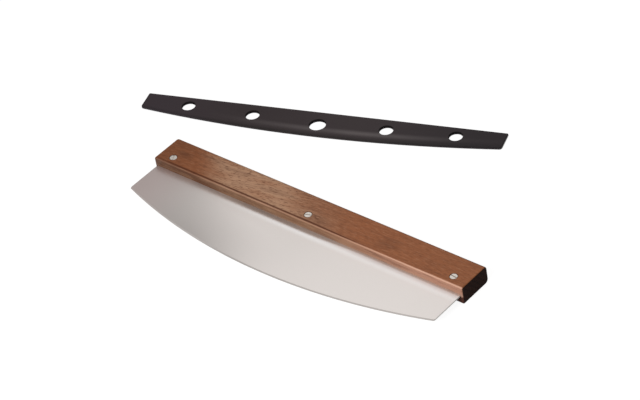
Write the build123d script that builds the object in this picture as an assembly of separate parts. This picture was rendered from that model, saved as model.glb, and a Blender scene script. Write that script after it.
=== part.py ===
from build123d import *
import math
import os

# Rocking pizza knife with a slip-on edge guard, in millimetres.
# Origin: centre of the handle's underside, the face that it lies on.
# +X runs along the handle, +Y points away from the cutting edge and +Z is up.
# The knife lies flat, and its guard lies taken off behind it.

# Wooden handle
handle_length = 355.0
handle_width = 34.3
handle_thickness = 17.8
handle_front_radius = 1.5
handle_back_radius = 4.0
handle_end_radius = 1.0

# Steel blade, with a hidden tang
blade_thickness = 1.2
blade_end_inset = 2.2
blade_end_depth = 36.8
blade_edge_radius = 568.0
blade_tip_radius = 0.8
bevel_width = 1.2
bevel_land = 0.3
tang_depth = 20.0
tang_shoulder = 5.0
tang_corner_radius = 2.0

# Fit of the tang in the slot of the handle
slot_side_clearance = 0.05
slot_end_clearance = 0.3

# Slotted screws and their barrel nuts
screw_end_inset = 15.6
screw_front_inset = 9.1
head_diameter = 7.0
head_thickness = 1.2
head_recess = 0.1
head_clearance = 0.2
head_chamfer = 0.25
driver_slot_width = 1.2
driver_slot_depth = 0.6
shank_diameter = 3.0
shank_end_gap = 1.0
barrel_diameter = 4.8
barrel_end_gap = 0.8
thread_clearance = 0.05
barrel_clearance = 0.08
screw_angles = {"left": 120.0, "middle": 17.0, "right": -5.0}
nut_angles = {"left": 10.0, "middle": 80.0, "right": -60.0}

# Moulded guard, in its own frame: its mouth is on the X axis and it closes towards -Y
guard_wall = 0.75
guard_floor_wall = 1.6
guard_end_wall = 2.2
guard_side_clearance = 0.15
guard_end_clearance = 1.5
guard_centre_height = 34.0
guard_edge_radius = 1272.0
guard_corner_radius = 3.0
guard_mouth_corner_radius = 1.0
guard_rim_radius = 1.1
guard_hole_pitch = 66.4
guard_centre_hole_diameter = 16.0
guard_inner_hole_diameter = 13.4
guard_outer_hole_diameter = 13.0
guard_centre_hole_depth = 18.8
guard_inner_hole_depth = 15.4
guard_outer_hole_depth = 12.8
guard_hole_easing = 0.25
guard_lead_in = 0.25

# Where the guard lies: middle of its mouth, and its turn from the handle
guard_place_x = -96.8
guard_place_y = 126.9
guard_turn = 19.4

# How far cutting solids run past what they cut
overrun = 5.0

handle_front = -handle_width / 2
middle_height = handle_thickness / 2
blade_half_length = handle_length / 2 - blade_end_inset
blade_end_y = handle_front - blade_end_depth
edge_centre_y = blade_end_y + math.sqrt(blade_edge_radius**2 - blade_half_length**2)
blade_lowest_y = edge_centre_y - blade_edge_radius
tang_half_length = blade_half_length - tang_shoulder
screw_y = handle_front + screw_front_inset
screw_reach = handle_length / 2 - screw_end_inset
screw_places = {"left": -screw_reach, "middle": 0, "right": screw_reach}
seat_depth = head_thickness + head_recess
guard_thickness = blade_thickness + 2 * (guard_side_clearance + guard_wall)
guard_half_length = blade_half_length + guard_end_clearance + guard_end_wall
guard_edge_centre_y = guard_edge_radius - guard_centre_height


def extruded(face, low, high):
    """The prism of a face drawn on Z = 0, from one height to another."""
    return extrude(Pos(0, 0, low) * face, high - low)


def upright_cylinder(radius, low, high):
    """A cylinder about Z from one height to another."""
    return Pos(0, 0, (low + high) / 2) * Cylinder(radius, high - low)


def corner_edges(solid, x, y, tolerance):
    """The upright edges of a solid that stand at one point of the plan."""
    found = []
    for edge in solid.edges().filter_by(Axis.Z):
        centre = edge.center()
        if abs(centre.X - x) < tolerance and abs(centre.Y - y) < tolerance:
            found.append(edge)
    return found


def build_handle():
    """The bar: rounded along its length, with a stopped slot for the tang and three seated holes."""
    bar = Box(handle_length, handle_width, handle_thickness)
    bar = Pos(0, 0, middle_height) * bar
    long_edges = bar.edges().filter_by(Axis.X).sort_by(Axis.Y)
    bar = fillet(long_edges[:2], handle_front_radius)
    long_edges = bar.edges().filter_by(Axis.X).sort_by(Axis.Y)
    bar = fillet(long_edges[-2:], handle_back_radius)
    ends = bar.faces().filter_by(Axis.X)
    end_edges = [edge for face in ends for edge in face.edges()]
    bar = fillet(end_edges, handle_end_radius)

    slot_height = blade_thickness + 2 * slot_side_clearance
    slot_depth = tang_depth + slot_end_clearance
    slot = Box(2 * (tang_half_length + slot_end_clearance), slot_depth + overrun, slot_height)
    bar -= Pos(0, handle_front + (slot_depth - overrun) / 2, middle_height) * slot

    barrel_hole = upright_cylinder(
        barrel_diameter / 2 + barrel_clearance, -overrun, handle_thickness + overrun
    )
    seat_radius = head_diameter / 2 + head_clearance
    lower_seat = upright_cylinder(seat_radius, -overrun, seat_depth)
    upper_seat = upright_cylinder(seat_radius, handle_thickness - seat_depth, handle_thickness + overrun)
    for x in screw_places.values():
        bar -= Pos(x, screw_y, 0) * (barrel_hole + lower_seat + upper_seat)
    return bar


def blade_outline():
    """The blade's plan: a curved cutting edge, straight ends, and shoulders beside the tang."""
    half = blade_half_length
    tang_back = handle_front + tang_depth
    lines = [
        Line((-half, handle_front), (-half, blade_end_y)),
        ThreePointArc((-half, blade_end_y), (0, blade_lowest_y), (half, blade_end_y)),
        Line((half, blade_end_y), (half, handle_front)),
        Line((half, handle_front), (tang_half_length, handle_front)),
        Line((tang_half_length, handle_front), (tang_half_length, tang_back)),
        Line((tang_half_length, tang_back), (-tang_half_length, tang_back)),
        Line((-tang_half_length, tang_back), (-tang_half_length, handle_front)),
        Line((-tang_half_length, handle_front), (-half, handle_front)),
    ]
    return make_face(Wire(lines))


def bevel_cutter():
    """A ring whose slanted side grinds one face of the blade along the curved edge."""
    slope = (blade_thickness - bevel_land) / 2 / bevel_width
    inner = blade_edge_radius - bevel_width
    outer = blade_edge_radius + overrun
    face_height = blade_thickness / 2
    low = face_height - slope * (outer - inner)
    section = Plane.XZ * make_face(
        Polyline(
            (inner, face_height),
            (outer, low),
            (outer, face_height + overrun),
            (inner, face_height + overrun),
            close=True,
        )
    )
    return revolve(section, Axis.Z)


def build_blade():
    """The blade: stamped from sheet, drilled for the barrels and ground on both faces."""
    low = middle_height - blade_thickness / 2
    plate = extruded(blade_outline(), low, low + blade_thickness)
    near = blade_tip_radius / 2
    tips = corner_edges(plate, -blade_half_length, blade_end_y, near)
    tips += corner_edges(plate, blade_half_length, blade_end_y, near)
    plate = fillet(tips, blade_tip_radius)
    tang_back = handle_front + tang_depth
    tang_corners = corner_edges(plate, -tang_half_length, tang_back, near)
    tang_corners += corner_edges(plate, tang_half_length, tang_back, near)
    plate = fillet(tang_corners, tang_corner_radius)

    cutter = bevel_cutter()
    plate -= Pos(0, edge_centre_y, middle_height) * cutter
    plate -= Pos(0, edge_centre_y, middle_height) * mirror(cutter, Plane.XY)

    hole = upright_cylinder(barrel_diameter / 2 + barrel_clearance, low - overrun, low + overrun)
    for x in screw_places.values():
        plate -= Pos(x, screw_y, 0) * hole
    return plate


def slotted_head(angle):
    """A flat head on Z = 0, its outer face up, with a driver slot across it."""
    disc = upright_cylinder(head_diameter / 2, 0, head_thickness)
    rim = disc.edges().group_by(Axis.Z)[-1]
    disc = chamfer(rim, head_chamfer)
    slot_floor = head_thickness - driver_slot_depth
    slot = Box(head_diameter + overrun, driver_slot_width, driver_slot_depth + overrun)
    slot = Pos(0, 0, slot_floor + (driver_slot_depth + overrun) / 2) * slot
    return disc - Rot(0, 0, angle) * slot


def build_screw(x, angle):
    """One screw, head up, whose shank runs down inside its barrel nut."""
    head_bottom = handle_thickness - seat_depth
    shank = upright_cylinder(shank_diameter / 2, seat_depth + shank_end_gap, head_bottom)
    screw = Pos(0, 0, head_bottom) * slotted_head(angle) + shank
    return Pos(x, screw_y, 0) * screw


def build_barrel_nut(x, angle):
    """One barrel nut, head down, whose barrel passes the handle and the tang."""
    head = Pos(0, 0, seat_depth) * (Rot(180, 0, 0) * slotted_head(angle))
    barrel_top = handle_thickness - seat_depth - barrel_end_gap
    barrel = upright_cylinder(barrel_diameter / 2, seat_depth, barrel_top)
    thread = upright_cylinder(shank_diameter / 2 + thread_clearance, seat_depth, barrel_top + overrun)
    return Pos(x, screw_y, 0) * (head + barrel - thread)


def guard_outline(end_inset, floor_inset, mouth_y):
    """The guard's plan, drawn in by a wall at its ends and along its curved edge."""
    half = guard_half_length - end_inset
    radius = guard_edge_radius - floor_inset
    end_y = guard_edge_centre_y - math.sqrt(radius**2 - half**2)
    lines = [
        Line((-half, mouth_y), (-half, end_y)),
        ThreePointArc((-half, end_y), (0, guard_edge_centre_y - radius), (half, end_y)),
        Line((half, end_y), (half, mouth_y)),
        Line((half, mouth_y), (-half, mouth_y)),
    ]
    return make_face(Wire(lines)), half, end_y


def guard_shell():
    """The outside of the guard, rounded along its closed edge and at its corners."""
    face, half, end_y = guard_outline(0, 0, 0)
    body = extruded(face, 0, guard_thickness)
    near = guard_mouth_corner_radius / 2
    closed = corner_edges(body, -half, end_y, near) + corner_edges(body, half, end_y, near)
    body = fillet(closed, guard_corner_radius)
    mouth = corner_edges(body, -half, 0, near) + corner_edges(body, half, 0, near)
    body = fillet(mouth, guard_mouth_corner_radius)
    rims = []
    for edge in body.edges():
        level = abs(edge.center().Z - guard_thickness / 2) > guard_wall
        if level and edge.center().Y < -guard_mouth_corner_radius:
            rims.append(edge)
    return fillet(rims, guard_rim_radius)


def guard_cavity():
    """The hollow that the blade slides into, with a flared mouth."""
    face, half, end_y = guard_outline(guard_end_wall, guard_floor_wall, overrun)
    cavity = extruded(face, guard_wall, guard_thickness - guard_wall)
    near = guard_mouth_corner_radius / 2
    corners = corner_edges(cavity, -half, end_y, near) + corner_edges(cavity, half, end_y, near)
    cavity = fillet(corners, guard_corner_radius - guard_end_wall)

    flare_top = guard_thickness - guard_wall + guard_lead_in
    flare_bottom = guard_wall - guard_lead_in
    flare = Plane.YZ * make_face(
        Polyline(
            (-guard_lead_in, guard_wall),
            (-guard_lead_in, guard_thickness - guard_wall),
            (0, flare_top),
            (overrun, flare_top),
            (overrun, flare_bottom),
            (0, flare_bottom),
            close=True,
        )
    )
    return cavity + extrude(flare, half, both=True)


def guard_holes():
    """Each hole of the guard as its place and its radius."""
    centre = (0, -guard_centre_hole_depth, guard_centre_hole_diameter / 2)
    places = [centre]
    for side in (-1, 1):
        pitch = side * guard_hole_pitch
        places.append((pitch, -guard_inner_hole_depth, guard_inner_hole_diameter / 2))
        places.append((2 * pitch, -guard_outer_hole_depth, guard_outer_hole_diameter / 2))
    return places


def eased_hole(radius):
    """The cutter of one hole, which opens by a small chamfer at both outer faces."""
    wide = radius + guard_hole_easing
    section = Plane.XZ * make_face(
        Polyline(
            (0, -overrun),
            (wide, -overrun),
            (wide, 0),
            (radius, guard_hole_easing),
            (radius, guard_thickness - guard_hole_easing),
            (wide, guard_thickness),
            (wide, guard_thickness + overrun),
            (0, guard_thickness + overrun),
            close=True,
        )
    )
    return revolve(section, Axis.Z)


def build_guard():
    """The guard: a thin moulded channel, closed along its curved edge, with five round windows."""
    guard = guard_shell() - guard_cavity()
    for x, y, radius in guard_holes():
        guard -= Pos(x, y, 0) * eased_hole(radius)
    return Pos(guard_place_x, guard_place_y, 0) * (Rot(0, 0, guard_turn) * guard)


def main():
    """Build every piece and write one STEP file for each."""
    pieces = {"handle": build_handle(), "blade": build_blade(), "edge_guard": build_guard()}
    for side, x in screw_places.items():
        pieces["screw_" + side] = build_screw(x, screw_angles[side])
        pieces["barrel_nut_" + side] = build_barrel_nut(x, nut_angles[side])
    os.makedirs("parts", exist_ok=True)
    for name, piece in pieces.items():
        export_step(piece, "parts/" + name + ".step")
    print("blade depth below the handle:", round(handle_front - blade_lowest_y, 2))
    print("guard:", round(2 * guard_half_length, 2), "long,", round(guard_thickness, 2), "thick")


main()
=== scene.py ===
import math

import bmesh
import bpy
from bpy.props import FloatProperty, FloatVectorProperty, IntProperty, PointerProperty
from mathutils import Matrix, Vector


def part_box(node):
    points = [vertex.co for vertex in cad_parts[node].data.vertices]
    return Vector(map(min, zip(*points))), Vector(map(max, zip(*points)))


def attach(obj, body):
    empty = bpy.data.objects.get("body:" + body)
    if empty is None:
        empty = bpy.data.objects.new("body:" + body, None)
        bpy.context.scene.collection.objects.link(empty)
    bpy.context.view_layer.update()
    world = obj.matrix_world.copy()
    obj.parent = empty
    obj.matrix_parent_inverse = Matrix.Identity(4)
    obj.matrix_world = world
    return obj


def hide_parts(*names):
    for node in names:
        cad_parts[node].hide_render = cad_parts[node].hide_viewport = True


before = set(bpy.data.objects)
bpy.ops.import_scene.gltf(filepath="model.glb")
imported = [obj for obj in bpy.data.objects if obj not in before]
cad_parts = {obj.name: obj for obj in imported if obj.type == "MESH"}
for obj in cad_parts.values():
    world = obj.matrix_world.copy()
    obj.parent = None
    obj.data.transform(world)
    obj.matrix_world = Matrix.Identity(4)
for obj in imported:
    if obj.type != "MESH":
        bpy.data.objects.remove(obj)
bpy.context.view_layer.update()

bl_info = {
    "name": "Rocking pizza knife",
    "version": (1, 0, 0),
    "blender": (4, 5, 0),
    "location": "View3D > Sidebar > Pizza Knife",
    "description": "Dresses a rocking pizza knife and its edge guard, and sets up its studio",
    "category": "Object",
}

MM = 0.001

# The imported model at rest, before anything is dressed
HANDLE_LOW, HANDLE_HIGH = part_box("handle")
BLADE_LOW, BLADE_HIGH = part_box("blade")

# Edges that turn by more than these stay sharp: on most pieces, and on the flat bevel
SHARP_ANGLE = math.radians(30)
BEVEL_ANGLE = math.radians(8)


class Value:
    """A node's output that arithmetic can be written on: each operator adds its Math node."""

    def __init__(self, tree, socket):
        self.tree = tree
        self.socket = socket

    def math(self, operation, *others):
        return self.tree.math(operation, self, *others)

    def __add__(self, other):
        return self.math("ADD", other)

    __radd__ = __add__

    def __sub__(self, other):
        return self.math("SUBTRACT", other)

    def __rsub__(self, other):
        return self.tree.math("SUBTRACT", other, self)

    def __mul__(self, other):
        return self.math("MULTIPLY", other)

    __rmul__ = __mul__

    def __truediv__(self, other):
        return self.math("DIVIDE", other)

    def __neg__(self):
        return self.math("MULTIPLY", -1.0)

    def __abs__(self):
        return self.math("ABSOLUTE")

    def __gt__(self, other):
        return self.math("GREATER_THAN", other)

    def sqrt(self):
        return self.math("SQRT")

    def sin(self):
        return self.math("SINE")

    def fraction(self):
        return self.math("FRACT")

    def nearest(self):
        return self.math("ROUND")

    def at_least(self, other):
        return self.math("MAXIMUM", other)

    def at_most(self, other):
        return self.math("MINIMUM", other)


class Made:
    """A node that was added: its outputs are read by their names or numbers."""

    def __init__(self, tree, node):
        self.tree = tree
        self.node = node

    def __getitem__(self, key):
        return Value(self.tree, socket_of(self.node.outputs, key))


def socket_of(sockets, key):
    """A socket by its number, its identifier or its name."""
    if isinstance(key, int):
        return sockets[key]
    for socket in sockets:
        if socket.identifier == key:
            return socket
    for socket in sockets:
        if socket.name == key and socket.enabled:
            return socket
    raise KeyError(f"no socket {key!r} among {[socket.name for socket in sockets]}")


class Tree:
    """A material's or a modifier's node tree that is written as expressions."""

    def __init__(self, node_tree):
        self.node_tree = node_tree

    def node(self, kind, settings=None, inputs=None):
        """Adds one node, with its settings first and then the values or links of its inputs."""
        node = self.node_tree.nodes.new(kind)
        for name, value in (settings or {}).items():
            setattr(node, name, value)
        made = Made(self, node)
        for key, value in (inputs or {}).items():
            self.feed(socket_of(node.inputs, key), value)
        return made

    def feed(self, socket, value):
        """Links a value to an input, or sets the input where the value is a constant."""
        if isinstance(value, (list, tuple)) and value and isinstance(value[0], Value):
            for one in value:
                self.node_tree.links.new(one.socket, socket)
        elif isinstance(value, Value):
            self.node_tree.links.new(value.socket, socket)
        else:
            socket.default_value = value

    def math(self, operation, *values):
        inputs = dict(enumerate(values))
        return self.node("ShaderNodeMath", {"operation": operation}, inputs)["Value"]

    def vector(self, operation, first, second):
        settings = {"operation": operation}
        return self.node("ShaderNodeVectorMath", settings, {0: first, 1: second})["Vector"]

    def combine(self, x, y, z):
        return self.node("ShaderNodeCombineXYZ", {}, {"X": x, "Y": y, "Z": z})["Vector"]

    def separate(self, vector):
        parts = self.node("ShaderNodeSeparateXYZ", {}, {"Vector": vector})
        return parts["X"], parts["Y"], parts["Z"]

    def mix(self, factor, first, second):
        inputs = {"Factor_Float": factor, "A_Color": first, "B_Color": second}
        settings = {"data_type": "RGBA", "clamp_factor": True}
        return self.node("ShaderNodeMix", settings, inputs)["Result_Color"]

    def rise(self, value, low, high):
        """Goes smoothly from 0 to 1 as a value goes from low to high."""
        settings = {"interpolation_type": "SMOOTHSTEP", "clamp": True}
        inputs = {"Value": value, "From Min": low, "From Max": high}
        return self.node("ShaderNodeMapRange", settings, inputs)["Result"]

    def hump(self, value, centre, width):
        """Is 1 at the centre, and fades smoothly to 0 a width away from it."""
        return 1.0 - self.rise(abs(value - centre), 0.0, width)

    def layered(self, colour, layers):
        """Lays tints over a colour in turn, each as strong as its amount times its mask."""
        for amount, mask, tint in layers:
            colour = self.mix(amount * mask, colour, tint)
        return colour

    def noise(self, place, per_unit, detail=2.0, roughness=0.5, distortion=0.0):
        """Noise from 0 to 1, whose grains have the given count to a unit on each axis."""
        inputs = {
            "Vector": self.vector("MULTIPLY", place, per_unit),
            "Scale": 1.0,
            "Detail": detail,
            "Roughness": roughness,
            "Distortion": distortion,
        }
        return self.node("ShaderNodeTexNoise", {"noise_dimensions": "3D"}, inputs)["Fac"]


class Finish(Tree):
    """A new material, worked out in millimetres on its piece."""

    def __init__(self, name):
        self.material = bpy.data.materials.new(name)
        self.material.use_nodes = True
        super().__init__(self.material.node_tree)
        self.node_tree.nodes.clear()

    def place(self):
        """The point of the piece, in millimetres."""
        point = self.node("ShaderNodeTexCoord")["Object"]
        return self.vector("MULTIPLY", point, (1 / MM, 1 / MM, 1 / MM))

    def turned_place(self, centre, angle):
        """The point of the piece in millimetres, in a frame that is moved and turned about Z."""
        settings = {"vector_type": "TEXTURE"}
        inputs = {"Vector": self.place(), "Location": centre, "Rotation": (0.0, 0.0, angle)}
        return self.node("ShaderNodeMapping", settings, inputs)["Vector"]

    def relief(self, height, strength, depth):
        """A normal that follows a height from 0 to 1, whose full depth is in metres."""
        inputs = {"Height": height, "Strength": strength, "Distance": depth}
        return self.node("ShaderNodeBump", {}, inputs)["Normal"]

    def surface(self, colour, rough, relief=None, metallic=0.0, specular=0.5):
        """Ends the material in a Principled BSDF."""
        inputs = {"Base Color": colour, "Roughness": rough, "Metallic": metallic}
        inputs["Specular IOR Level"] = specular
        if relief:
            inputs["Normal"] = relief
        shader = self.node("ShaderNodeBsdfPrincipled", {}, inputs)
        self.node("ShaderNodeOutputMaterial", {}, {"Surface": shader["BSDF"]})
        return self.material


class Growth(Tree):
    """A new Geometry Nodes tree, whose inputs are named sizes and a material."""

    def __init__(self, name, sizes):
        group = bpy.data.node_groups.new(name, "GeometryNodeTree")
        super().__init__(group)
        add = group.interface.new_socket
        add("Geometry", in_out="OUTPUT", socket_type="NodeSocketGeometry")
        self.keys = {}
        for size in sizes:
            kind = "NodeSocketMaterial" if size == "Material" else "NodeSocketFloat"
            self.keys[size] = add(size, in_out="INPUT", socket_type=kind).identifier
        self.inputs = self.node("NodeGroupInput")
        self.point = self.node("GeometryNodeInputPosition")["Position"]

    def size(self, name):
        return self.inputs[self.keys[name]]

    def cylinder(self, radius, low, high, vertices=48, side_segments=1):
        """An upright cylinder about Z, from one height to another."""
        inputs = {"Vertices": vertices, "Side Segments": side_segments}
        inputs.update({"Radius": radius, "Depth": high - low})
        mesh = self.node("GeometryNodeMeshCylinder", {"fill_type": "NGON"}, inputs)["Mesh"]
        return self.moved(mesh, self.combine(0.0, 0.0, (high + low) / 2))

    def block(self, size, centre):
        mesh = self.node("GeometryNodeMeshCube", {}, {"Size": size})["Mesh"]
        return self.moved(mesh, centre)

    def moved(self, geometry, offset):
        inputs = {"Geometry": geometry, "Translation": offset}
        return self.node("GeometryNodeTransform", {}, inputs)["Geometry"]

    def shaped(self, geometry, position):
        inputs = {"Geometry": geometry, "Position": position}
        return self.node("GeometryNodeSetPosition", {}, inputs)["Geometry"]

    def fused(self, *meshes):
        settings = {"operation": "UNION", "solver": "EXACT"}
        return self.node("GeometryNodeMeshBoolean", settings, {"Mesh 2": list(meshes)})["Mesh"]

    def cut(self, mesh, *tools):
        settings = {"operation": "DIFFERENCE", "solver": "EXACT"}
        inputs = {"Mesh 1": mesh, "Mesh 2": list(tools)}
        return self.node("GeometryNodeMeshBoolean", settings, inputs)["Mesh"]

    def row(self, reach, y, z):
        """Three points along X: one at each end of the reach and one in the middle."""
        inputs = {
            "Count": 3,
            "Start Location": self.combine(-reach, y, z),
            "Offset": self.combine(reach, 0.0, 0.0),
        }
        return self.node("GeometryNodeMeshLine", {"mode": "OFFSET"}, inputs)["Mesh"]

    def picked(self, kind, choices):
        """The choice whose number is the index of the point."""
        made = self.node("GeometryNodeIndexSwitch", {"data_type": kind})
        while len(made.node.index_switch_items) < len(choices):
            made.node.index_switch_items.new()
        self.feed(made.node.inputs["Index"], self.node("GeometryNodeInputIndex")["Index"])
        for number, choice in enumerate(choices):
            self.feed(made.node.inputs[number + 1], choice)
        return made[0]

    def repeated(self, points, geometry, turn):
        """One copy of a geometry at each point, turned by its own angles."""
        rotation = self.node("FunctionNodeEulerToRotation", {}, {"Euler": turn})["Rotation"]
        inputs = {"Points": points, "Instance": geometry, "Rotation": rotation}
        return self.node("GeometryNodeInstanceOnPoints", {}, inputs)["Instances"]

    def ended(self, geometry):
        """Ends the tree in real faces that carry the material."""
        real = self.node("GeometryNodeRealizeInstances", {}, {"Geometry": geometry})["Geometry"]
        inputs = {"Geometry": real, "Material": self.size("Material")}
        painted = self.node("GeometryNodeSetMaterial", {}, inputs)["Geometry"]
        self.node("NodeGroupOutput", {}, {"Geometry": painted})
        return self


def grown(name, growth, values, sharp_angle):
    """Runs a Geometry Nodes tree on a new object and keeps its result as a plain mesh."""
    carrier = new_object(name + "_carrier", bpy.data.meshes.new(name + "_carrier"))
    modifier = carrier.modifiers.new(name, "NODES")
    modifier.node_group = growth.node_tree
    for size, value in values.items():
        modifier[growth.keys[size]] = value
    evaluated = carrier.evaluated_get(bpy.context.evaluated_depsgraph_get())
    mesh = bpy.data.meshes.new_from_object(evaluated)
    bpy.data.objects.remove(carrier)
    if not mesh.polygons:
        raise RuntimeError(name + ": its tree made no faces")
    mesh.name = name
    return new_object(name, smoothed(mesh, sharp_angle))


def new_object(name, data):
    """A new object in the scene, in place of any earlier one of the same name."""
    old = bpy.data.objects.get(name)
    if old:
        bpy.data.objects.remove(old)
    made = bpy.data.objects.new(name, data)
    bpy.context.scene.collection.objects.link(made)
    return made


def smoothed(mesh, sharp_angle):
    """Rounds the shading, and keeps the edges that are sharper than the angle."""
    mesh.shade_smooth()
    mesh.set_sharp_from_angle(angle=sharp_angle)
    return mesh


def flat_faces_kept(mesh, sharp_angle):
    """Weighs the corner normals by area, so that only the roundings shade smoothly."""
    limit = math.cos(sharp_angle)
    around = [[] for vertex in mesh.vertices]
    for face in mesh.polygons:
        for vertex in face.vertices:
            around[vertex].append(face)
    normals = []
    for face in mesh.polygons:
        for vertex in face.vertices:
            total = Vector()
            for other in around[vertex]:
                if other.normal.dot(face.normal) > limit:
                    total += other.normal * other.area
            normals.append(total.normalized())
    mesh.normals_split_custom_set(normals)
    return mesh


def refined_copy(node, name, sharp_angle):
    """A copy of a CAD node with its loose triangles joined and its roundings smooth."""
    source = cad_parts[node]
    form = bmesh.new()
    form.from_mesh(source.data)
    same_place, same_plane = 0.002 * MM, math.radians(0.5)
    bmesh.ops.remove_doubles(form, verts=form.verts, dist=same_place)
    bmesh.ops.dissolve_limit(form, angle_limit=same_plane, verts=form.verts, edges=form.edges)
    bmesh.ops.recalc_face_normals(form, faces=form.faces)
    mesh = bpy.data.meshes.new(name)
    form.to_mesh(mesh)
    form.free()
    mesh.materials.clear()
    return new_object(name, flat_faces_kept(smoothed(mesh, sharp_angle), sharp_angle))


def dressed(piece, material, body, slot, *nodes):
    """Gives a piece its material and its body, and lets it stand for its CAD nodes."""
    piece.data.materials.clear()
    piece.data.materials.append(material)
    for face in piece.data.polygons:
        face.material_index = 0
    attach(piece, body)
    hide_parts(*nodes)
    return piece


def colour_setting(name, description, default):
    return FloatVectorProperty(
        name=name, description=description, subtype="COLOR", size=3, min=0, max=1, default=default
    )


def length_setting(name, description, default, low, high):
    """A length whose default and limits are given in millimetres."""
    return FloatProperty(
        name=name, description=description, unit="LENGTH",
        min=low * MM, max=high * MM, default=default * MM,
    )


def place_setting(name, description, *default):
    """A place whose numbers are given in millimetres."""
    return FloatVectorProperty(
        name=name, description=description, subtype="TRANSLATION", unit="LENGTH",
        size=len(default), default=[value * MM for value in default],
    )


def share_setting(name, description, default):
    """A number from 0 to 1."""
    return FloatProperty(
        name=name, description=description, subtype="FACTOR", min=0, max=1, default=default
    )


class HandleLook(bpy.types.PropertyGroup):
    """The look of the wooden bar."""

    heart: colour_setting("Heartwood", "Main colour of the oiled wood", (0.246, 0.085, 0.033))
    pale: colour_setting(
        "Pale wood", "Colour of the lighter streak along the bar", (0.395, 0.226, 0.137)
    )
    # Besides the rings and the pores, the dark wood paints the shade on the bar's left end
    dark: colour_setting(
        "Dark wood", "Colour of the rings, the pores and the darker end", (0.085, 0.028, 0.012)
    )
    # The near-black end grain is partly the oiled wood and partly painted shade
    end_grain: colour_setting(
        "End grain", "Colour of the two cut ends, which drink the oil", (0.028, 0.0135, 0.0105)
    )
    knot: place_setting("Knot", "Where the small pin knot lies on the upper face", 10.6, -6.8)
    ring_spacing: length_setting(
        "Ring spacing", "Distance between growth rings", 4.2, low=0.5, high=20
    )
    roughness: share_setting("Roughness", "How dull the oiled surface is", 0.48)


class BladeLook(bpy.types.PropertyGroup):
    """The shape and the look of the blade."""

    edge_radius: length_setting(
        "Edge radius", "Radius of the curved cutting edge", 568, low=200, high=5000
    )
    end_depth: length_setting(
        "End depth", "Depth of the blade below the handle at its ends", 36.8, low=5, high=200
    )
    bevel: length_setting("Bevel", "Width of the ground bevel", 1.2, low=0.1, high=20)
    land: length_setting("Land", "Thickness left at the cutting edge", 0.3, low=0.01, high=2)
    tip_radius: length_setting("Tip radius", "Rounding of the two tips", 0.8, low=0.05, high=10)
    tang_depth: length_setting(
        "Tang depth", "How far the tang reaches into the handle", 20, low=1, high=50
    )
    tang_shoulder: length_setting(
        "Tang shoulder", "How much the tang is set in at each end", 5, low=0, high=50
    )
    barrel_hole: length_setting(
        "Barrel hole", "Diameter of the three holes in the tang", 4.96, low=1, high=20
    )
    stations: IntProperty(
        name="Stations", description="Number of points along the curved edge",
        min=12, max=2000, default=161,
    )
    steel: colour_setting("Steel", "Colour of the satin steel", (0.74, 0.70, 0.675))
    roughness: share_setting("Roughness", "How dull the satin finish is", 0.31)


class FastenerLook(bpy.types.PropertyGroup):
    """The sizes and the look of the screws and their barrel nuts."""

    head_diameter: length_setting(
        "Head diameter", "Diameter of each slotted head", 7, low=1, high=30
    )
    head_thickness: length_setting(
        "Head thickness", "Thickness of each slotted head", 1.2, low=0.2, high=10
    )
    head_recess: length_setting(
        "Head recess", "How far a head sits below the wood", 0.1, low=0, high=5
    )
    easing: length_setting("Easing", "Chamfer round each head", 0.25, low=0.01, high=2)
    slot_width: length_setting("Slot width", "Width of the driver slot", 1.2, low=0.1, high=5)
    slot_depth: length_setting("Slot depth", "Depth of the driver slot", 0.6, low=0.1, high=5)
    shank_diameter: length_setting(
        "Shank diameter", "Diameter of the screws' shanks", 3, low=0.5, high=10
    )
    barrel_diameter: length_setting(
        "Barrel diameter", "Diameter of the barrel nuts", 4.8, low=1, high=20
    )
    end_inset: length_setting(
        "End inset", "Distance from each outer screw to the end of the bar", 15.6, low=1, high=200
    )
    front_inset: length_setting(
        "Front inset", "Distance from the screws to the front of the bar", 9.1, low=1, high=100
    )
    screw_angles: FloatVectorProperty(
        name="Screw angles", description="Turn of each screw's slot, from left to right",
        unit="ROTATION", size=3, default=(math.radians(120), math.radians(17), math.radians(-5)),
    )
    nut_angles: FloatVectorProperty(
        name="Nut angles", description="Turn of each barrel nut's slot, from left to right",
        unit="ROTATION", size=3, default=(math.radians(-10), math.radians(-80), math.radians(60)),
    )
    steel: colour_setting("Steel", "Colour of the turned steel", (0.92, 0.88, 0.83))


class GuardLook(bpy.types.PropertyGroup):
    """The look of the moulded guard, and where its pattern lies."""

    centre: place_setting("Centre", "Middle of the guard's mouth", -96.8, 126.9, 0)
    turn: FloatProperty(
        name="Turn", description="Turn of the guard from the handle",
        unit="ROTATION", default=math.radians(19.4),
    )
    edge_radius: length_setting(
        "Edge radius", "Radius of the closed edge", 1272, low=200, high=10000
    )
    depth: length_setting("Depth", "Depth of the guard at its middle", 34, low=5, high=200)
    plastic: colour_setting("Plastic", "Colour of the moulded plastic", (0.029, 0.0205, 0.0225))
    # Paints the reflection band along the curved edge, and tints the scuffs
    sheen: colour_setting(
        "Worn sheen", "Colour where the moulding is rubbed", (0.088, 0.075, 0.076)
    )
    roughness: share_setting("Roughness", "How dull the moulding is", 0.5)


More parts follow.
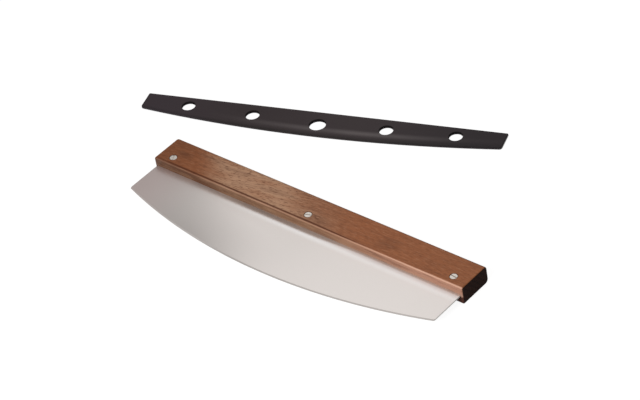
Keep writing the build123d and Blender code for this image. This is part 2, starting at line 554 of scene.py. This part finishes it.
class StudioSetup(bpy.types.PropertyGroup):
    """The floor, the light and the camera."""

    floor_size: length_setting("Floor size", "Width of the floor", 24000, low=1000, high=100000)
    floor_tone: share_setting("Floor tone", "How much of the light the floor gives back", 0.2)
    sky: FloatProperty(
        name="Sky", description="Strength of the light from all round",
        min=0, max=5, default=0.32,
    )
    sky_tint: colour_setting("Sky tint", "Colour of the light from all round", (1.0, 0.955, 0.93))
    overhead: FloatProperty(
        name="Overhead", description="Power of the softbox over the blade",
        unit="POWER", min=0, max=500, default=0.64,
    )
    front: FloatProperty(
        name="Front", description="Power of the softbox in front",
        unit="POWER", min=0, max=500, default=2.2,
    )
    camera_place: place_setting(
        "Camera", "Where the camera stands", 1352.07, -1271.12, 1493.24
    )
    camera_right: FloatVectorProperty(
        name="Camera right", description="Direction of the picture's right side",
        subtype="DIRECTION", size=3, default=(0.75816, 0.636183, -0.143056),
    )
    camera_up: FloatVectorProperty(
        name="Camera up", description="Direction of the picture's top",
        subtype="DIRECTION", size=3, default=(-0.317245, 0.551547, 0.77146),
    )
    lens: FloatProperty(
        name="Lens", description="Focal length of the camera",
        min=10, max=500, default=152.28,
    )


def opaque(colour):
    """A colour of three numbers with its full alpha."""
    return tuple(colour) + (1.0,)


def distance(first, second):
    """The length of a line from its two parts at right angles to each other."""
    return (first * first + second * second).sqrt()


def from_screws(tree, look, place):
    """How far a point is from the nearest screw's axis, in millimetres."""
    x, y, z = tree.separate(place)
    reach = (HANDLE_HIGH.x - look.end_inset) / MM
    screw_x = x - reach * (x / reach).nearest()
    screw_y = y - (HANDLE_LOW.y + look.front_inset) / MM
    return distance(screw_x, screw_y)


def late_wood(tree, look, log_y, log_z):
    """The dark outer part of each growth ring, by the distances from the log's middle."""
    ring = (distance(log_y, log_z) / (look.ring_spacing / MM)).fraction()
    darkest = 0.93
    return tree.rise(ring, 0.45, darkest) * (1.0 - tree.rise(ring, darkest, 1.0))


def walnut_grain(wood, look, place):
    """The colour of the oiled bar before any wear, its height, and how it roughens the oil."""
    x, y, z = wood.separate(place)
    pale, dark = opaque(look.pale), opaque(look.dark)

    # The grain sways, and crosses the bar on its left half
    crossing = wood.rise(x, -125.0, 15.0)
    sway = 6.0 * wood.noise(place, (0.011, 0.03, 0.03))
    across = y + sway - 0.03 * x - 13.0 * crossing
    grain = wood.combine(x, across, z)
    log_z = z + 46.0 + 5.0 * wood.noise(place, (0.006, 0.03, 0.03), detail=1.0)
    rings = late_wood(wood, look, across + 60.0, log_z)

    fibre = wood.noise(grain, (0.07, 1.5, 1.5), detail=3.0, roughness=0.6)
    fibres = wood.rise(fibre, 0.45, 0.8)
    streak = wood.noise(grain, (0.024, 0.24, 0.24), detail=3.0, roughness=0.6, distortion=0.3)
    patch = wood.noise(grain, (0.020, 0.08, 0.08))
    dash = wood.noise(grain, (0.16, 0.95, 0.95), roughness=0.55)
    dashes = wood.rise(dash, 0.56, 0.62)
    flecks = 1.0 - wood.rise(dash, 0.34, 0.46)
    pores = wood.rise(wood.noise(grain, (0.12, 2.3, 2.3)), 0.60, 0.70)

    # The paler stretch and the darker one after it lie askew on the bar
    askew = x + 0.8 * y
    pale_begins, pale_ends = (-142.0, -98.0), (-60.0, 58.0)
    run = wood.rise(askew, *pale_begins) * (1.0 - wood.rise(askew, *pale_ends))
    clouded = 0.62 + 0.55 * wood.rise(patch, 0.35, 0.62)
    # Painted shade: the left end of the bar is painted darker
    left_end = 1.0 - wood.rise(x, -175.0, -115.0)
    after_run = wood.hump(askew, 5.0, 52.0)
    lines = 0.14 * rings + 0.22 * wood.rise(streak, 0.48, 0.8)
    colour = wood.layered(opaque(look.heart), (
        (run, clouded, pale),
        (0.22, left_end, dark),
        (0.20, after_run, dark),
        (0.34, wood.rise(patch, 0.5, 0.70), dark),
        (1.0, lines, dark),
        (0.18 + 0.26 * run, flecks, pale),
        (0.30 + 0.32 * run, dashes, dark),
        (0.25, fibres, dark),
        (0.40, pores, dark),
    ))
    height = 1.0 - (0.6 * pores + 0.2 * dashes + 0.2 * fibres)
    return colour, height, 0.14 * pores + 0.08 * (fibre - 0.5)


def walnut_marks(wood, look, place, colour):
    """A pin knot beside the middle screw, and a stain beside the left one."""
    x, y, z = wood.separate(place)
    top = HANDLE_HIGH.z / MM
    dark = opaque(look.dark)
    knot_length, knot_width = 3.4, 1.5
    knot_x = (x - look.knot[0] / MM) / knot_length
    knot_y = (y - look.knot[1] / MM) / knot_width
    open_right = 1.0 - wood.rise(knot_x, 0.2, 0.9)
    on_top = wood.rise(z, top - 1.5, top - 0.5)
    knot = wood.hump(distance(knot_x, knot_y), 1.0, 0.6) * open_right * on_top
    stain_length, stain_width = 12.0, 4.5
    stain_x, stain_y = (x + 155.0) / stain_length, (y - 0.5) / stain_width
    stain = wood.hump(distance(stain_x, stain_y), 0.0, 1.2)
    return wood.layered(colour, ((0.55, knot, dark), (0.55, stain, dark)))


def walnut_front(wood, look, place, colour):
    """The front face: painted light that makes it paler to the right, and the painted light and
    shade that the blade gives it.
    """
    x, y, z = wood.separate(place)
    front = HANDLE_LOW.y / MM
    facing = 1.0 - wood.rise(y, front + 0.3, front + 1.5)
    # Painted light: the front face is painted paler from left to right
    shaded_left_face, lit_middle_face = (0.125, 0.062, 0.038, 1.0), (0.236, 0.124, 0.070, 1.0)
    lit_right_face = (0.49, 0.262, 0.185, 1.0)
    tone = wood.mix(wood.rise(x, -150.0, -60.0), shaded_left_face, lit_middle_face)
    tone = wood.mix(wood.rise(x, 0.0, 150.0), tone, lit_right_face)
    mottle = wood.noise(place, (0.035, 0.2, 0.30), detail=3.0, roughness=0.6)
    # Painted light bounced up from the blade over it, and painted shade under the blade
    over_blade, under_blade = (9.4, 12.4), (7.0, 8.2)
    bounce = (1.0 - wood.rise(z, *over_blade)) * wood.rise(x, -90.0, -40.0)
    under = facing * (1.0 - wood.rise(z, *under_blade))
    bounce_tint, under_tint = (0.46, 0.32, 0.25, 1.0), (0.062, 0.017, 0.013, 1.0)
    colour = wood.layered(colour, (
        (0.75, facing, tone),
        (0.40 * facing, wood.rise(mottle, 0.50, 0.66), opaque(look.dark)),
        (0.30 * facing, 1.0 - wood.rise(mottle, 0.36, 0.48), opaque(look.pale)),
        (0.35 * facing, bounce, bounce_tint),
        (0.9, under, under_tint),
    ))
    return colour, under


def walnut_edge(wood, place, colour):
    """A painted highlight along the edge over the blade, and a painted shade line behind it where
    the rounding starts.
    """
    x, y, z = wood.separate(place)
    front, top = HANDLE_LOW.y / MM, HANDLE_HIGH.z / MM
    # Painted highlight along the rounding, stronger towards the right
    highlight_width = 1.0 + 0.6 * wood.rise(x, 90.0, 165.0)
    highlighted = wood.hump(y, front + 0.4, highlight_width) * wood.hump(z, top - 0.35, 1.0)
    highlight_strength = 0.2 + 0.22 * wood.hump(x, -60.0, 80.0) + 0.72 * wood.rise(x, -60.0, 165.0)
    highlight_strength = highlight_strength - 0.09 * wood.hump(x, 55.0, 70.0)

    # Past the middle the painted shade line comes nearer to the edge and narrows, and it fades at
    # both ends
    drift = wood.rise(x, 8.0, 48.0)
    line = wood.hump(y, front + 2.0 - 0.5 * drift, 1.8 - 0.45 * drift)
    line = line * wood.rise(z, top - 0.8, top - 0.3)
    line = line * wood.rise(x, -195.0, -145.0) * (1.0 - wood.rise(x, 42.0, 86.0))
    highlight_tint, line_tint = (0.57, 0.34, 0.245, 1.0), (0.07, 0.016, 0.003, 1.0)
    colour = wood.layered(colour, ((highlight_strength, highlighted, highlight_tint), (0.95, line, line_tint)))
    return colour, highlighted


def walnut(look, fasteners):
    """Oiled hardwood: rings, pores and short dashes run along the bar, with a paler stretch."""
    wood = Finish("oiled_walnut")
    place = wood.place()
    colour, height, grain_rough = walnut_grain(wood, look, place)
    colour = walnut_marks(wood, look, place, colour)
    colour, under = walnut_front(wood, look, place, colour)
    colour, highlighted = walnut_edge(wood, place, colour)
    # Painted shade round each screw head, in the end grain's colour
    rim = fasteners.head_diameter / MM / 2
    seat = 1.0 - wood.rise(from_screws(wood, fasteners, place), rim, rim + 1.0)
    colour = wood.mix(0.6 * seat, colour, opaque(look.end_grain))
    rough = look.roughness + grain_rough - 0.1 * highlighted + 0.4 * under
    return wood.surface(colour, rough, wood.relief(height, 0.35, 0.06 * MM), specular=0.18)


def walnut_end(look):
    """The cut ends: rings and open pores that drank the oil, almost black, partly from the oil and
    partly as painted shade.
    """
    wood = Finish("walnut_end_grain")
    place = wood.place()
    x, y, z = wood.separate(place)
    log_y = y + 62.0 + 2.0 * wood.noise(place, (0.05, 0.06, 0.06))
    rings = late_wood(wood, look, log_y, z + 48.0)
    pores = wood.rise(wood.noise(place, (2.3, 2.3, 2.3)), 0.56, 0.68)
    worn_field = wood.noise(place, (0.2, 0.2, 0.2), detail=3.0, roughness=0.6)
    worn_tint, pore_tint = (0.055, 0.022, 0.019, 1.0), (0.004, 0.0025, 0.0022, 1.0)
    colour = wood.layered(opaque(look.end_grain), (
        (0.4, wood.rise(worn_field, 0.4, 0.7), worn_tint),
        (1.0, 0.45 * rings + 0.4 * pores, pore_tint),
    ))
    rough = 0.75 + 0.15 * pores
    height = 1.0 - (0.6 * pores + 0.4 * rings)
    return wood.surface(colour, rough, wood.relief(height, 0.5, 0.08 * MM), specular=0.06)


def blade_rims(steel, look, x, y):
    """Where the blade is ground along its curved edge, and where it is sheared at its ends."""
    half_length = BLADE_HIGH.x / MM
    radius = look.edge_radius / MM
    tip_y = (HANDLE_LOW.y - look.end_depth) / MM
    centre_y = tip_y + math.sqrt(radius**2 - half_length**2)
    bevel_radius = radius - look.bevel / MM
    ground = steel.rise(distance(x, y - centre_y), bevel_radius - 0.08, bevel_radius)
    sheared = steel.rise(abs(x), half_length - 0.3, half_length - 0.05)
    return ground, sheared


def satin_steel(look):
    """Rolled sheet with a satin finish: fine lines along the blade, and a coarser ground bevel,
    under painted light and shade.
    """
    steel = Finish("satin_steel")
    place = steel.place()
    x, y, z = steel.separate(place)
    lines = steel.noise(place, (0.012, 7.0, 7.0), roughness=0.6)
    fine = steel.noise(place, (0.05, 19.0, 19.0), detail=1.0)
    cloud = steel.noise(place, (0.012, 0.02, 0.02))
    ground, sheared = blade_rims(steel, look, x, y)
    dull = 1.0 - (0.92 + 0.07 * lines + 0.06 * cloud)

    # Painted light and shade: the sheet is painted lighter near the wood and darker towards the
    # edge, most of all on the left
    even_y, slant = -61.6, 0.16
    light_fall = (y + slant * x - even_y).at_least(-24.0).at_most(17.0) * 0.009
    light_fall = light_fall * steel.hump(x, -80.0, 100.0)

    # Beside the wood lies a lit strip, and between the two a soft shade
    from_wood = (HANDLE_LOW.y / MM - y).at_least(0.0)
    lit_begins = 3.6 - 2.8 * steel.rise(x, 0.0, 70.0)
    lit = steel.rise(from_wood, lit_begins, lit_begins + 2.5)
    lit = lit * (1.0 - steel.rise(from_wood, 5.6, 12.0)) * steel.rise(x, -130.0, -10.0)
    lit = lit * (1.0 - 0.18 * steel.rise(x, 0.0, 90.0))
    shade = 0.08 + 0.40 * steel.hump(x, -42.0, 90.0)
    beside = 1.0 - steel.rise(from_wood, 2.2, 7.6)

    # Painted reflection: the left end of the sheet is painted pinker and darker
    left_end = 1.0 - steel.rise(x, -175.0, -105.0)
    # The ground bevel is greyer steel on the right, and painted light makes it lighter on the left
    lit_left_ground, right_ground = (0.86, 0.82, 0.80, 1.0), (0.22, 0.20, 0.185, 1.0)
    ground_tone = steel.mix(steel.rise(x, -90.0, -10.0), lit_left_ground, right_ground)
    dull_tint, shade_tint = (0.30, 0.27, 0.25, 1.0), (0.20, 0.145, 0.12, 1.0)
    painted_light_tint, painted_shade_tint = (0.98, 0.93, 0.90, 1.0), (0.40, 0.375, 0.36, 1.0)
    lit_tint, rosy_reflection_tint = (0.83, 0.835, 0.84, 1.0), (0.72, 0.60, 0.585, 1.0)
    colour = steel.layered(opaque(look.steel), (
        (1.0, dull, dull_tint),
        (3.1, light_fall, painted_light_tint),
        (-2.2, light_fall, painted_shade_tint),
        (0.78, lit, lit_tint),
        (shade, beside, shade_tint),
        (0.7, left_end, rosy_reflection_tint),
        (0.4, ground, ground_tone),
        (0.5, sheared, (0.16, 0.145, 0.135, 1.0)),
    ))
    rough = look.roughness + 0.10 * (lines - 0.5) + 0.05 * (cloud - 0.5) + 0.06 * ground
    brushing = steel.relief(0.7 * lines + 0.3 * fine, 0.12, 0.01 * MM)
    return steel.surface(colour, rough, brushing, metallic=0.72 - 0.54 * lit)


def turned_steel(look):
    """Bright steel with fine turning marks round each head, painted shade that darkens the row
    towards the right, and a darker slot.
    """
    steel = Finish("turned_steel")
    place = steel.place()
    x, y, z = steel.separate(place)
    marks_per_mm = 5.0
    wobble = steel.noise(place, (1.2, 1.2, 1.2))
    turning = (from_screws(steel, look, place) * marks_per_mm + wobble).fraction()
    marks = abs(turning - 0.5) * 2.0
    middle_z = (HANDLE_LOW.z + HANDLE_HIGH.z) / 2 / MM
    face_z = middle_z - look.head_recess / MM
    slot_floor = face_z - look.slot_depth / MM * 0.8
    in_slot = 1.0 - steel.rise(abs(z - middle_z), slot_floor, face_z - 0.15)
    smudge = steel.noise(place, (0.5, 0.5, 0.5), detail=3.0, roughness=0.6)
    # Painted shade: the heads are painted darker towards the right
    right_shade = 0.06 + 0.26 * steel.rise(x, -120.0, 140.0)
    shade_marks_smudge_tint, slot_tint = (0.55, 0.50, 0.44, 1.0), (0.10, 0.085, 0.07, 1.0)
    colour = steel.layered(opaque(look.steel), (
        (1.0, right_shade + 0.16 * marks + 0.16 * smudge, shade_marks_smudge_tint),
        (0.2, in_slot, slot_tint),
    ))
    rough = 0.36 + 0.10 * marks + 0.1 * smudge + 0.2 * in_slot
    return steel.surface(colour, rough, steel.relief(marks, 0.25, 0.01 * MM), metallic=0.82)


def moulded_plastic(look):
    """Black plastic from a spark-eroded mould, with a painted reflection that makes it lighter
    along its curved edge, and painted light and shade along that edge and at its ends.
    """
    plastic = Finish("moulded_plastic")
    place = plastic.turned_place(tuple(value / MM for value in look.centre), look.turn)
    along, across, z = plastic.separate(place)
    radius = look.edge_radius / MM
    centre_y = radius - look.depth / MM
    inset = radius - distance(along, across - centre_y)

    grain = plastic.noise(place, (3.2, 3.2, 3.2))
    cloud = plastic.noise(place, (0.02, 0.06, 0.06))
    scuff = plastic.noise(place, (0.06, 1.6, 1.6), detail=3.0, roughness=0.6)
    # Painted reflection: a lighter band along the curved edge
    band = plastic.hump(inset, 8.6, 5.2) * plastic.hump(along, 45.0, 165.0)
    band = band * (1.0 - 0.3 * plastic.hump(along, 12.0, 24.0))
    # Painted shade along the curved edge, deeper towards the far end; painted light on the near
    # end and painted shade on the far end
    to_end = plastic.rise(along, 40.0, 150.0)
    edge = 1.0 - plastic.rise(inset, 0.6, 4.0 + 3.6 * to_end)
    near_end = 1.0 - plastic.rise(along, -165.0, -70.0)
    far_end = plastic.rise(along, 30.0, 165.0)

    sheen, edge_tint = opaque(look.sheen), (0.012, 0.0095, 0.0095, 1.0)
    near_tint, far_tint = (0.052, 0.038, 0.052, 1.0), (0.0125, 0.009, 0.0115, 1.0)
    colour = plastic.layered(opaque(look.plastic), (
        (1.0, 0.95 * band + 0.12 * cloud, sheen),
        (0.10, plastic.rise(scuff, 0.55, 0.8), sheen),
        (0.6 + 0.4 * to_end, edge, edge_tint),
        (0.35, near_end, near_tint),
        (0.72, far_end, far_tint),
    ))
    rough = look.roughness + 0.1 * (grain - 0.5) + 0.08 * (cloud - 0.5) - 0.06 * band
    return plastic.surface(colour, rough, plastic.relief(grain, 0.3, 0.02 * MM), specular=0.25)


def shaded_plastic():
    """A near-black copy of the plastic that paints the shade on the walls of the windows, where
    little light comes.
    """
    plastic = Finish("shaded_plastic")
    grain = plastic.noise(plastic.place(), (3.2, 3.2, 3.2))
    colour = plastic.mix(grain, (0.002, 0.0015, 0.0015, 1.0), (0.007, 0.0055, 0.0055, 1.0))
    return plastic.surface(colour, 0.65 + 0.1 * (grain - 0.5), specular=0.12)


def studio_floor(setup):
    """A matt floor that looks white to the camera and in reflections, and keeps the shadows."""
    floor = Finish("studio_floor")
    tone = setup.floor_tone
    place = floor.place()
    fleck = floor.noise(place, (0.02, 0.02, 0.02))
    colour = floor.mix(0.03 * fleck, opaque([tone] * 3), (0.0, 0.0, 0.0, 1.0))
    matt = floor.node("ShaderNodeBsdfDiffuse", {}, {"Color": colour})["BSDF"]
    rays = floor.node("ShaderNodeLightPath")
    seen = rays["Is Camera Ray"].at_least(rays["Is Glossy Ray"])
    seen = seen.at_least(rays["Is Transmission Ray"])

    # Near the knife the glow makes up for what the matt floor takes, and far off it is white
    x, y, z = floor.separate(place)
    away = floor.rise(distance(x, y), 250.0, 700.0)
    near_glow, far_glow = 1.095 - tone, 0.98
    white = floor.mix(away, opaque([near_glow] * 3), opaque([far_glow] * 3))
    glow = floor.node("ShaderNodeEmission", {}, {"Color": white, "Strength": seen})["Emission"]
    both = floor.node("ShaderNodeAddShader", {}, {0: matt, 1: glow})["Shader"]
    floor.node("ShaderNodeOutputMaterial", {}, {"Surface": both})
    return floor.material


def fastener_growth(sizes):
    """A row of three slotted heads with their shanks, each turned by its own angle."""
    tree = Growth("slotted_fasteners", sizes)
    size = tree.size
    radius = size("Head Diameter") / 2
    thickness = size("Head Thickness")
    easing = size("Easing")

    # The chamfer: the middle ring of points goes up to its foot, and the top one shrinks
    head = tree.cylinder(radius, 0.0, thickness, vertices=64, side_segments=2)
    x, y, z = tree.separate(tree.point)
    is_top = z > thickness * 0.75
    is_middle = (z > thickness * 0.25) - is_top
    shrink = 1.0 - is_top * (easing / radius)
    lift = is_middle * (thickness / 2 - easing)
    head = tree.shaped(head, tree.combine(x * shrink, y * shrink, z + lift))

    length = size("Shank Length")
    shank = tree.cylinder(size("Shank Diameter") / 2, -length, thickness / 4)
    body = tree.fused(head, shank)
    slot_size = tree.combine(radius * 3, size("Slot Width"), size("Slot Depth") * 2)
    slot = tree.block(slot_size, tree.combine(0.0, 0.0, thickness))
    bore = tree.cylinder(size("Bore Diameter") / 2, -2 * length, 0.0)
    bored = tree.cut(body, slot, bore)
    plain = tree.cut(body, slot)
    choice = {"Switch": size("Bore Diameter") > 0.0, "False": plain, "True": bored}
    body = tree.node("GeometryNodeSwitch", {"input_type": "GEOMETRY"}, choice)["Output"]

    points = tree.row(size("Reach"), size("Row Y"), size("Seat Z"))
    angles = [size(side + " Angle") for side in ("Left", "Middle", "Right")]
    turn = tree.combine(size("Turned Over") * math.pi, 0.0, tree.picked("FLOAT", angles))
    return tree.ended(tree.repeated(points, body, turn))


def blade_growth(sizes):
    """A blade whose section is swept along X and set out by the arc of the cutting edge."""
    tree = Growth("ground_blade", sizes)
    size = tree.size
    half = size("Half Length")
    radius = size("Edge Radius")
    thick = size("Thickness") / 2
    land = size("Land") / 2
    root = size("Root Y")

    ends = {"Start": tree.combine(-half, 0.0, 0.0), "End": tree.combine(half, 0.0, 0.0)}
    line = tree.node("GeometryNodeCurvePrimitiveLine", {}, ends)["Curve"]
    steps = {"Curve": line, "Count": size("Stations")}
    line = tree.node("GeometryNodeResampleCurve", {}, steps)["Curve"]
    # Section: 0 at the root, 1 where the bevel starts and 2 at the edge
    ring = tree.node("GeometryNodeCurvePrimitiveCircle", {}, {"Resolution": 6})["Curve"]
    corners = [(0.0, thick), (1.0, thick), (2.0, land), (2.0, -land), (1.0, -thick), (0.0, -thick)]
    places = [tree.combine(level, height, 0.0) for level, height in corners]
    section = tree.shaped(ring, tree.picked("VECTOR", places))
    swept = {"Curve": line, "Profile Curve": section, "Fill Caps": True}
    plate = tree.node("GeometryNodeCurveToMesh", {}, swept)["Mesh"]

    # The sine brings the points closer together towards the tips
    straight_x, level, z = tree.separate(tree.point)
    level = abs(level)
    x = half * (straight_x / half * (math.pi / 2)).sin()
    tip = size("Tip Radius")
    near_end = (abs(x) - (half - tip)).at_least(0.0)
    rounding = tip - (tip * tip - near_end * near_end).at_least(0.0).sqrt()
    centre_y = size("Tip Y") + (radius * radius - half * half).sqrt()
    edge_y = centre_y - (radius * radius - x * x).sqrt() + rounding
    inner = radius - size("Bevel")
    bevel_y = centre_y - (inner * inner - x * x).sqrt() + rounding
    y = root + level.at_most(1.0) * (bevel_y - root)
    y = y + (level - 1.0).at_least(0.0) * (edge_y - bevel_y)
    plate = tree.shaped(plate, tree.combine(x, y, z + size("Middle Z")))

    depth = size("Tang Depth")
    lap = 1.0 * MM
    tang_size = tree.combine(size("Tang Half Length") * 2, depth + lap, size("Thickness"))
    tang_middle = tree.combine(0.0, root + (depth - lap) / 2, size("Middle Z"))
    plate = tree.fused(plate, tree.block(tang_size, tang_middle))
    drill = tree.cylinder(size("Hole Diameter") / 2, -size("Thickness"), size("Thickness"))
    places = tree.row(size("Hole Reach"), size("Hole Y"), size("Middle Z"))
    drills = tree.repeated(places, drill, (0.0, 0.0, 0.0))
    drills = tree.node("GeometryNodeRealizeInstances", {}, {"Geometry": drills})["Geometry"]
    return tree.ended(tree.cut(plate, drills))


def softbox(name, power, size, place, target):
    """An area light that faces a point and that the camera doesn't see."""
    lamp = bpy.data.lights.new(name, "AREA")
    lamp.shape = "RECTANGLE"
    lamp.size, lamp.size_y = size
    lamp.energy = power
    made = new_object(name, lamp)
    aim = (Vector(target) - Vector(place)).to_track_quat("-Z", "Y")
    made.matrix_world = Matrix.Translation(place) @ aim.to_matrix().to_4x4()
    made.visible_camera = False
    return made


class PIZZAKNIFE_OT_handle(bpy.types.Operator):
    """Gives the wooden bar its smooth roundings and its oiled wood"""

    bl_idname = "pizzaknife.handle"
    bl_label = "Wooden handle"

    def execute(self, context):
        look = context.scene.knife_handle
        wood = walnut(look, context.scene.knife_fasteners)
        bar = refined_copy("handle", "wooden_bar", SHARP_ANGLE)
        dressed(bar, wood, "knife", "handle_wood", "handle")
        # The two cut ends get the near-black end grain, which is partly painted shade
        bar.data.materials.append(walnut_end(look))
        end_x = HANDLE_HIGH.x - 0.6 * MM
        for face in bar.data.polygons:
            on_end = abs(face.center.x) > end_x and abs(face.normal.x) > 0.9
            face.material_index = 1 if on_end else 0
        return {"FINISHED"}


class PIZZAKNIFE_OT_blade(bpy.types.Operator):
    """Grows the blade from the arc of its edge and gives it satin steel"""

    bl_idname = "pizzaknife.blade"
    bl_label = "Steel blade"

    def execute(self, context):
        look = context.scene.knife_blade
        fasteners = context.scene.knife_fasteners
        steel = satin_steel(look)
        values = {
            "Half Length": BLADE_HIGH.x,
            "Root Y": HANDLE_LOW.y,
            "Tip Y": HANDLE_LOW.y - look.end_depth,
            "Edge Radius": look.edge_radius,
            "Tip Radius": look.tip_radius,
            "Thickness": BLADE_HIGH.z - BLADE_LOW.z,
            "Land": look.land,
            "Bevel": look.bevel,
            "Middle Z": (BLADE_LOW.z + BLADE_HIGH.z) / 2,
            "Tang Depth": look.tang_depth,
            "Tang Half Length": BLADE_HIGH.x - look.tang_shoulder,
            "Hole Diameter": look.barrel_hole,
            "Hole Reach": HANDLE_HIGH.x - fasteners.end_inset,
            "Hole Y": HANDLE_LOW.y + fasteners.front_inset,
            "Stations": float(look.stations),
            "Material": steel,
        }
        blade = grown("ground_blade", blade_growth(values), values, BEVEL_ANGLE)
        dressed(blade, steel, "knife", "blade_steel", "blade")
        return {"FINISHED"}


class PIZZAKNIFE_OT_fasteners(bpy.types.Operator):
    """Grows the three slotted screws and their barrel nuts"""

    bl_idname = "pizzaknife.fasteners"
    bl_label = "Screws and barrel nuts"

    def execute(self, context):
        look = context.scene.knife_fasteners
        steel = turned_steel(look)
        seat = look.head_thickness + look.head_recess
        inside = HANDLE_HIGH.z - HANDLE_LOW.z - 2 * seat
        screw_gap, nut_gap, thread_gap = 1 * MM, 0.8 * MM, 0.1 * MM
        heads = {
            "Head Diameter": look.head_diameter,
            "Head Thickness": look.head_thickness,
            "Easing": look.easing,
            "Slot Width": look.slot_width,
            "Slot Depth": look.slot_depth,
            "Reach": HANDLE_HIGH.x - look.end_inset,
            "Row Y": HANDLE_LOW.y + look.front_inset,
            "Material": steel,
        }
        screws = {
            **heads, **angles(look.screw_angles), "Turned Over": 0.0,
            "Seat Z": HANDLE_HIGH.z - seat, "Bore Diameter": 0.0,
            "Shank Diameter": look.shank_diameter, "Shank Length": inside - screw_gap,
        }
        nuts = {
            **heads, **angles(look.nut_angles), "Turned Over": 1.0,
            "Seat Z": HANDLE_LOW.z + seat, "Bore Diameter": look.shank_diameter + thread_gap,
            "Shank Diameter": look.barrel_diameter, "Shank Length": inside - nut_gap,
        }
        rows = (("slotted_screws", "screw", screws), ("barrel_nuts", "barrel_nut", nuts))
        growth = fastener_growth(screws)
        for name, kind, values in rows:
            row = grown(name, growth, values, SHARP_ANGLE)
            nodes = [f"{kind}_{side}" for side in ("left", "middle", "right")]
            dressed(row, steel, "knife", "fastener_steel", *nodes)
        return {"FINISHED"}


def angles(three):
    """The three slot angles under the names of their inputs."""
    return dict(zip(("Left Angle", "Middle Angle", "Right Angle"), three))


class PIZZAKNIFE_OT_guard(bpy.types.Operator):
    """Gives the slip-on guard its smooth roundings and its moulded plastic"""

    bl_idname = "pizzaknife.guard"
    bl_label = "Edge guard"

    def execute(self, context):
        look = context.scene.knife_guard
        guard = refined_copy("edge_guard", "slip_on_guard", SHARP_ANGLE)
        dressed(guard, moulded_plastic(look), "guard", "guard_plastic", "edge_guard")
        # The walls inside the windows get the near-black copy, which paints their shade
        guard.data.materials.append(shaded_plastic())
        from_middle = Matrix.Rotation(-look.turn, 3, "Z")
        arc_y = look.edge_radius - look.depth
        rim, end = 4 * MM, 160 * MM
        for face in guard.data.polygons:
            along, across, z = from_middle @ (face.center - Vector(look.centre))
            inset = look.edge_radius - math.hypot(along, across - arc_y)
            inside = across < -rim and inset > rim and abs(along) < end
            upright = abs(face.normal.z) < 0.8
            face.material_index = 1 if inside and upright else 0
        return {"FINISHED"}


class PIZZAKNIFE_OT_studio(bpy.types.Operator):
    """Lays the white floor, hangs the soft lights and stands the camera"""

    bl_idname = "pizzaknife.studio"
    bl_label = "Studio"

    def execute(self, context):
        scene = context.scene
        setup = scene.knife_studio
        half = setup.floor_size / 2
        corners = [(-half, -half, 0), (half, -half, 0), (half, half, 0), (-half, half, 0)]
        mesh = bpy.data.meshes.new("floor")
        mesh.from_pydata(corners, [], [(0, 1, 2, 3)])
        mesh.materials.append(studio_floor(setup))
        new_object("floor", mesh)

        above, below = (-0.052, 0.175, 0.30), (-0.052, 0.175, 0)
        softbox("overhead_softbox", setup.overhead, (0.55, 0.56), above, below)
        before, right_part = (0.14, -0.40, 0.32), (0.12, -0.02, 0.01)
        front = softbox("front_softbox", setup.front, (0.32, 0.20), before, right_part)
        # Kept out of reflections, so that the blade stays grey when it is seen from behind
        front.visible_glossy = False

        world = bpy.data.worlds.new("studio_sky")
        world.use_nodes = True
        sky = world.node_tree.nodes["Background"]
        sky.inputs["Color"].default_value = opaque(setup.sky_tint)
        sky.inputs["Strength"].default_value = setup.sky
        scene.world = world

        lens = bpy.data.cameras.new("camera")
        lens.lens = setup.lens
        lens.sensor_width = 36
        lens.clip_start, lens.clip_end = 0.05, 100
        camera = new_object("camera", lens)
        right = Vector(setup.camera_right).normalized()
        up = Vector(setup.camera_up).normalized()
        axes = Matrix((right, up, right.cross(up))).transposed()
        camera.matrix_world = Matrix.Translation(setup.camera_place) @ axes.to_4x4()
        scene.camera = camera
        scene.view_settings.view_transform = "Standard"
        return {"FINISHED"}


class PIZZAKNIFE_PT_panel(bpy.types.Panel):
    """Lists the pieces of the knife and their looks"""

    bl_idname = "PIZZAKNIFE_PT_panel"
    bl_label = "Rocking pizza knife"
    bl_space_type = "VIEW_3D"
    bl_region_type = "UI"
    bl_category = "Pizza Knife"

    def draw(self, context):
        for operator, settings, look in STEPS:
            box = self.layout.box()
            box.operator(operator.bl_idname)
            for name in look.__annotations__:
                box.prop(getattr(context.scene, settings), name)


STEPS = (
    (PIZZAKNIFE_OT_handle, "knife_handle", HandleLook),
    (PIZZAKNIFE_OT_blade, "knife_blade", BladeLook),
    (PIZZAKNIFE_OT_fasteners, "knife_fasteners", FastenerLook),
    (PIZZAKNIFE_OT_guard, "knife_guard", GuardLook),
    (PIZZAKNIFE_OT_studio, "knife_studio", StudioSetup),
)


def register():
    for operator, settings, look in STEPS:
        bpy.utils.register_class(look)
        setattr(bpy.types.Scene, settings, PointerProperty(type=look))
        bpy.utils.register_class(operator)
    bpy.utils.register_class(PIZZAKNIFE_PT_panel)


def unregister():
    bpy.utils.unregister_class(PIZZAKNIFE_PT_panel)
    for operator, settings, look in reversed(STEPS):
        bpy.utils.unregister_class(operator)
        delattr(bpy.types.Scene, settings)
        bpy.utils.unregister_class(look)


def main():
    """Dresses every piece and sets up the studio."""
    register()
    for operator, settings, look in STEPS:
        family, action = operator.bl_idname.split(".")
        getattr(getattr(bpy.ops, family), action)()


if __name__ == "__main__":
    main()
